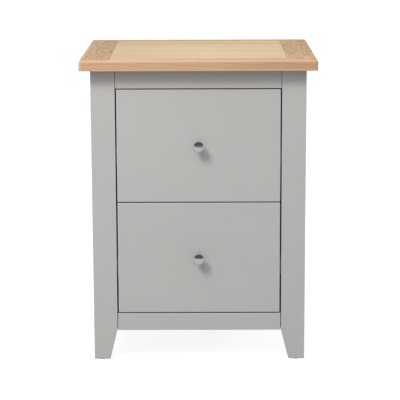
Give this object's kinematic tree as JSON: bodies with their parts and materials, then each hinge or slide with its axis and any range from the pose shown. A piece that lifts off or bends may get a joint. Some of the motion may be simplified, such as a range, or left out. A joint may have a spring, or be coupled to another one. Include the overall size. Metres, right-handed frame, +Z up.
{
  "type": "filing cabinet",
  "caption": "Wooden filing cabinet with an overhanging oak top with cleated ends and a lipped front, a painted post-and-rail body on tapered feet, and file drawers on full-extension slides.",
  "frame": {"origin": "on the floor, under the middle of the top", "axes": "+Z up, +X to the right and -Y to the front, as someone facing the drawers sees it"},
  "size_m": [0.571, 0.5, 0.747],
  "materials": {
    "oak_top": "satin lacquer",
    "painted_wood": "satin grey paint",
    "drawer_timber": "clear sealed",
    "plywood": "sanded",
    "slide_steel": "bright zinc",
    "file_rail_steel": "bright zinc",
    "knob_chrome": "polished",
    "screw_steel": "zinc plated",
    "glide_plastic": "moulded"
  },
  "bodies": {
    "carcass": {"top_lipping_front": "oak_top", "top_board_front": "oak_top", "top_board_middle": "oak_top", "top_board_rear": "oak_top", "top_cleat_left": "oak_top", "top_cleat_right": "oak_top", "post_front_left": "painted_wood", "post_front_right": "painted_wood", "post_rear_left": "painted_wood", "post_rear_right": "painted_wood", "rail_front_top": "painted_wood", "rail_front_bottom": "painted_wood", "rail_rear_top": "painted_wood", "rail_rear_bottom": "painted_wood", "side_rail_top_left": "painted_wood", "side_rail_top_right": "painted_wood", "side_rail_bottom_left": "painted_wood", "side_rail_bottom_right": "painted_wood", "side_panel_left": "painted_wood", "side_panel_right": "painted_wood", "back_panel": "painted_wood", "bottom_panel": "plywood", "runner_batten_lower_left": "drawer_timber", "runner_batten_lower_right": "drawer_timber", "runner_batten_upper_left": "drawer_timber", "runner_batten_upper_right": "drawer_timber", "foot_glide_front_left": "glide_plastic", "foot_glide_front_right": "glide_plastic", "foot_glide_rear_left": "glide_plastic", "foot_glide_rear_right": "glide_plastic", "lower_slide_outer_left": "slide_steel", "lower_slide_outer_right": "slide_steel", "upper_slide_outer_left": "slide_steel", "upper_slide_outer_right": "slide_steel"},
    "lower_slide_middle": {"lower_slide_middle_left": "slide_steel", "lower_slide_middle_right": "slide_steel"},
    "lower_drawer": {"lower_drawer_front": "painted_wood", "lower_drawer_side_left": "drawer_timber", "lower_drawer_side_right": "drawer_timber", "lower_drawer_back": "drawer_timber", "lower_drawer_bottom": "plywood", "lower_file_rail_left": "file_rail_steel", "lower_file_rail_right": "file_rail_steel", "lower_knob": "knob_chrome", "lower_knob_screw": "screw_steel", "lower_slide_inner_left": "slide_steel", "lower_slide_inner_right": "slide_steel"},
    "upper_slide_middle": {"upper_slide_middle_left": "slide_steel", "upper_slide_middle_right": "slide_steel"},
    "upper_drawer": {"upper_drawer_front": "painted_wood", "upper_drawer_side_left": "drawer_timber", "upper_drawer_side_right": "drawer_timber", "upper_drawer_back": "drawer_timber", "upper_drawer_bottom": "plywood", "upper_file_rail_left": "file_rail_steel", "upper_file_rail_right": "file_rail_steel", "upper_knob": "knob_chrome", "upper_knob_screw": "screw_steel", "upper_slide_inner_left": "slide_steel", "upper_slide_inner_right": "slide_steel"}
  },
  "joints": [
    {"name": "lower_drawer_slide", "type": "slide", "parent": "carcass", "child": "lower_drawer", "axis": [0, -1, 0], "range_m": [0, 0.39]},
    {"name": "lower_slide_travel", "type": "slide", "parent": "carcass", "child": "lower_slide_middle", "axis": [0, -1, 0], "range_m": [0, 0.195]},
    {"name": "upper_drawer_slide", "type": "slide", "parent": "carcass", "child": "upper_drawer", "axis": [0, -1, 0], "range_m": [0, 0.39]},
    {"name": "upper_slide_travel", "type": "slide", "parent": "carcass", "child": "upper_slide_middle", "axis": [0, -1, 0], "range_m": [0, 0.195]}
  ],
  "couplings": [
    {"joint": "lower_slide_travel", "follows": "lower_drawer_slide", "ratio": 0.5},
    {"joint": "upper_slide_travel", "follows": "upper_drawer_slide", "ratio": 0.5}
  ]
}
